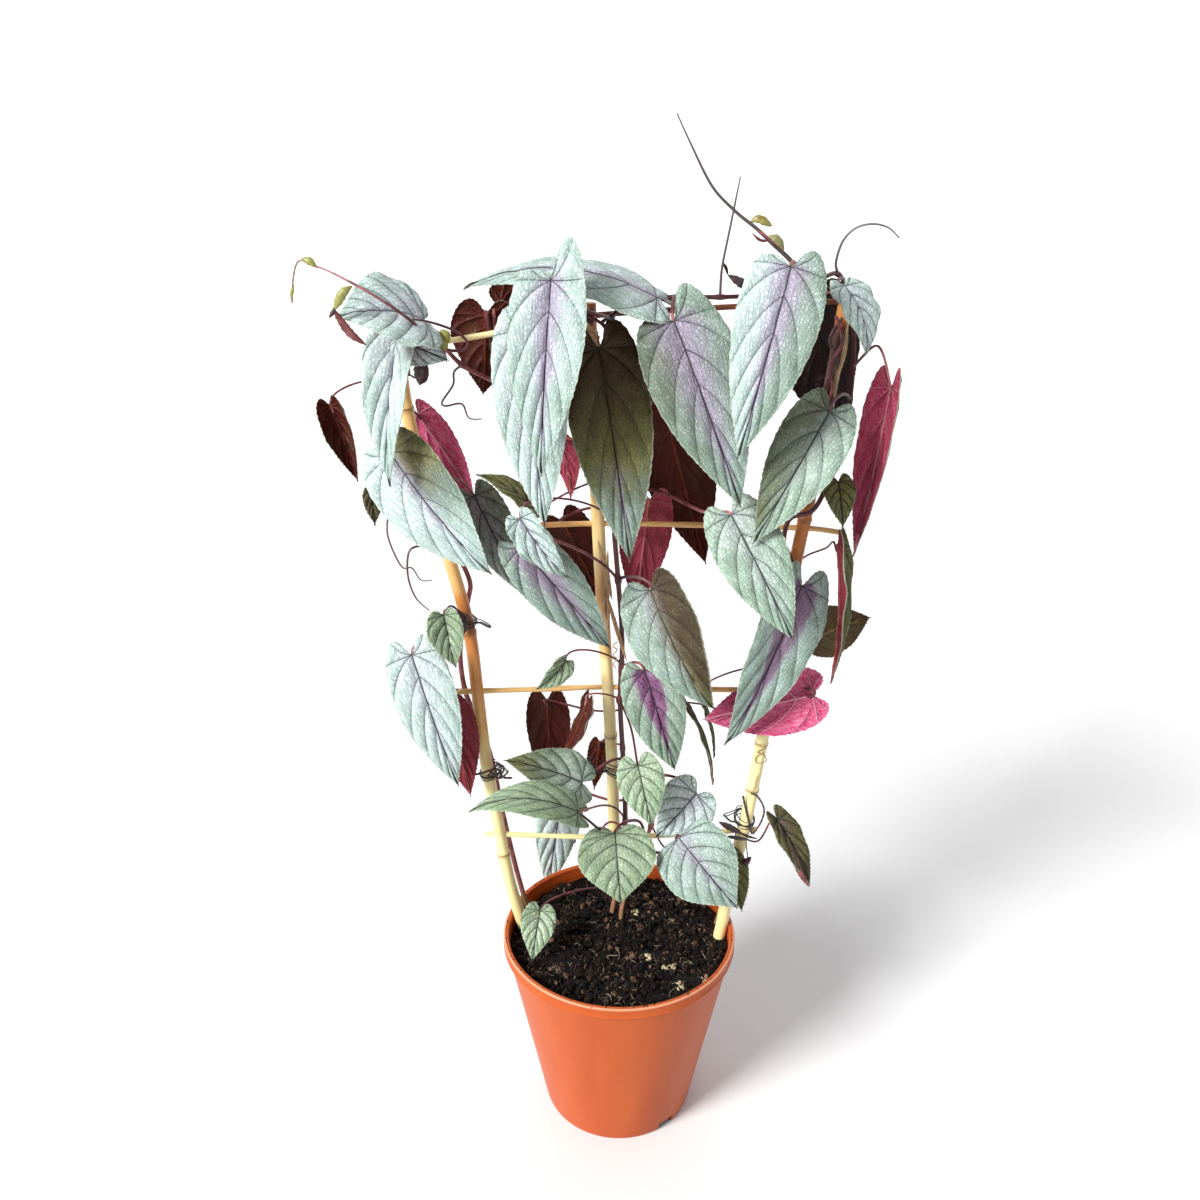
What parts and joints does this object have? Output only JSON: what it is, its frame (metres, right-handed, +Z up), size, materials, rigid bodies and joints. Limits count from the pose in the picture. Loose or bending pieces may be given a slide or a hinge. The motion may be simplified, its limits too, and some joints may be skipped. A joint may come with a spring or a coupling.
{
  "type": "potted climbing begonia",
  "caption": "Rex begonia vine with long silver-green leaves, climbing a bamboo fan trellis in a tapered plastic nursery pot full of peat.",
  "frame": {"origin": "centre of the pot's flat base, on the ground", "axes": "+Z up along the pot's axis and the trellis, -Y towards the front that the leaves face, +X to the right as seen from the front"},
  "size_m": [0.361, 0.17, 0.6894],
  "materials": {
    "pot": "moulded terracotta-orange polypropylene, satin",
    "soil": "dark, moist peat with pale fibres",
    "bamboo": "thin split bamboo, lightly glossy",
    "wire": "black plastic-coated tie wire",
    "foliage": "silver-green leaves with dark veins and a crimson underside"
  },
  "bodies": {
    "root": {"pot": "pot", "soil": "soil", "cane_left": "bamboo", "cane_middle": "bamboo", "cane_right": "bamboo", "bar_low": "bamboo", "bar_second": "bamboo", "bar_third": "bamboo", "bar_top": "bamboo", "tie_left_low": "wire", "tie_left_mid": "wire", "tie_middle": "wire", "tie_right": "wire", "vine_left": "foliage", "vine_middle": "foliage", "vine_right": "foliage", "vine_low": "foliage"}
  },
  "joints": []
}
